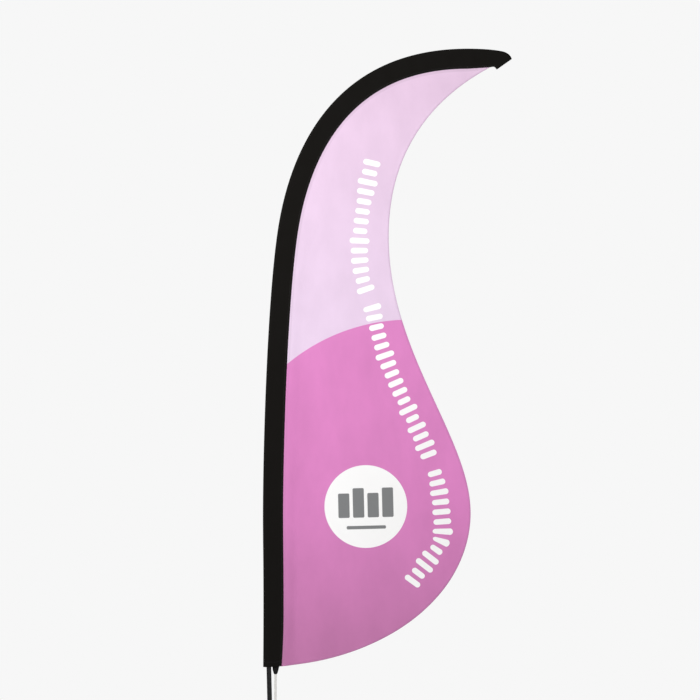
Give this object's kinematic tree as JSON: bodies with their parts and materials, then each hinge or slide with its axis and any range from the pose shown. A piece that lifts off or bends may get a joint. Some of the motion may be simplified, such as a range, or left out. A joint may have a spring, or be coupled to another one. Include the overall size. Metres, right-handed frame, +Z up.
{
  "type": "teardrop flag",
  "caption": "Teardrop feather flag: curved pole in a black fabric sleeve with a two-tone printed panel, turning on a ball-bearing spindle above a folding cross base.",
  "frame": {"origin": "on the floor, on the spindle's axis, at the underside of the hub's rubber pad", "axes": "+Z up along the spindle and the straight lower part of the pole; the flag lies in the plane Y = 0 and flies towards +X; -Y is its front, on which the print reads the right way round"},
  "size_m": [1.2183, 0.611, 2.7938],
  "materials": {
    "printed_cloth": "printed knitted polyester, semi-matt, lilac above and orchid pink below",
    "black_cloth": "black woven polyester, matt",
    "white_elastic": "flat woven elastic, matt",
    "black_pole": "black fibre-reinforced tube, satin",
    "bright_steel": "ground steel, satin",
    "zinc_steel": "zinc-plated steel, satin",
    "brass": "turned brass, satin",
    "painted_steel": "black powder coat, fine texture",
    "rubber": "moulded rubber, matt",
    "black_plastic": "moulded plastic, matt"
  },
  "bodies": {
    "base": {"hub_pad": "rubber", "hub_bottom_plate": "painted_steel", "hub_top_plate": "painted_steel", "spindle_post": "zinc_steel", "spindle_axle": "bright_steel", "spindle_nut": "zinc_steel", "bearing_lower_race": "bright_steel", "spindle_retainer_cap": "black_plastic", "leg_pivot_bolt_1": "zinc_steel", "leg_pivot_bolt_2": "zinc_steel", "leg_pivot_bolt_3": "zinc_steel", "leg_pivot_bolt_4": "zinc_steel", "leg_pivot_nut_1": "zinc_steel", "leg_pivot_nut_2": "zinc_steel", "leg_pivot_nut_3": "zinc_steel", "leg_pivot_nut_4": "zinc_steel"},
    "bearing_cage": {"bearing_cage": "brass", "bearing_ball_1": "bright_steel", "bearing_ball_2": "bright_steel", "bearing_ball_3": "bright_steel", "bearing_ball_4": "bright_steel", "bearing_ball_5": "bright_steel", "bearing_ball_6": "bright_steel", "bearing_ball_7": "bright_steel", "bearing_ball_8": "bright_steel"},
    "rotor": {"rotor_tube": "zinc_steel", "bearing_upper_race": "bright_steel", "rotor_lower_bush": "brass", "rotor_upper_bush": "brass"},
    "mast": {"pole_base_section": "black_pole", "pole_lower_section": "black_pole", "pole_upper_section": "black_pole", "pole_tip_section": "black_pole", "pole_ferrule_1": "bright_steel", "pole_ferrule_2": "bright_steel", "pole_ferrule_3": "bright_steel", "pole_end_ring": "bright_steel", "pole_tip_cap": "black_plastic", "pole_sleeve": "black_cloth", "sleeve_tip_pocket": "black_cloth", "flag_panel": "printed_cloth", "edge_hem": "printed_cloth", "tension_tab": "black_cloth", "tension_elastic": "white_elastic"},
    "tensioner": {"tension_collar": "black_plastic", "tension_peg": "zinc_steel", "tension_hook": "black_plastic"},
    "leg_1": {"leg_tube_1": "painted_steel", "leg_plug_1": "black_plastic", "leg_foot_1": "rubber"},
    "leg_2": {"leg_tube_2": "painted_steel", "leg_plug_2": "black_plastic", "leg_foot_2": "rubber"},
    "leg_3": {"leg_tube_3": "painted_steel", "leg_plug_3": "black_plastic", "leg_foot_3": "rubber"},
    "leg_4": {"leg_tube_4": "painted_steel", "leg_plug_4": "black_plastic", "leg_foot_4": "rubber"}
  },
  "joints": [
    {"name": "flag_spin", "type": "hinge", "parent": "base", "child": "rotor", "pos_m": [0, 0, 0.0464], "axis": [0, 0, 1], "continuous": true},
    {"name": "cage_spin", "type": "hinge", "parent": "base", "child": "bearing_cage", "pos_m": [0, 0, 0.0416], "axis": [0, 0, 1], "continuous": true},
    {"name": "mast_lift", "type": "slide", "parent": "rotor", "child": "mast", "axis": [0, 0, 1], "range_m": [0, 0.2]},
    {"name": "tensioner_slide", "type": "slide", "parent": "mast", "child": "tensioner", "axis": [0, 0, -1], "range_m": [0, 0.05], "deforming": ["tension_elastic"]},
    {"name": "leg_1_fold", "type": "hinge", "parent": "base", "child": "leg_1", "pos_m": [0.042, 0.042, 0.0191], "axis": [0, 0, 1], "range_deg": [-45, 0]},
    {"name": "leg_2_fold", "type": "hinge", "parent": "base", "child": "leg_2", "pos_m": [-0.042, 0.042, 0.0191], "axis": [0, 0, 1], "range_deg": [0, 45]},
    {"name": "leg_3_fold", "type": "hinge", "parent": "base", "child": "leg_3", "pos_m": [-0.042, -0.042, 0.0191], "axis": [0, 0, 1], "range_deg": [-45, 0]},
    {"name": "leg_4_fold", "type": "hinge", "parent": "base", "child": "leg_4", "pos_m": [0.042, -0.042, 0.0191], "axis": [0, 0, 1], "range_deg": [0, 45]}
  ],
  "couplings": [
    {"joint": "cage_spin", "follows": "flag_spin", "ratio": 0.5}
  ]
}
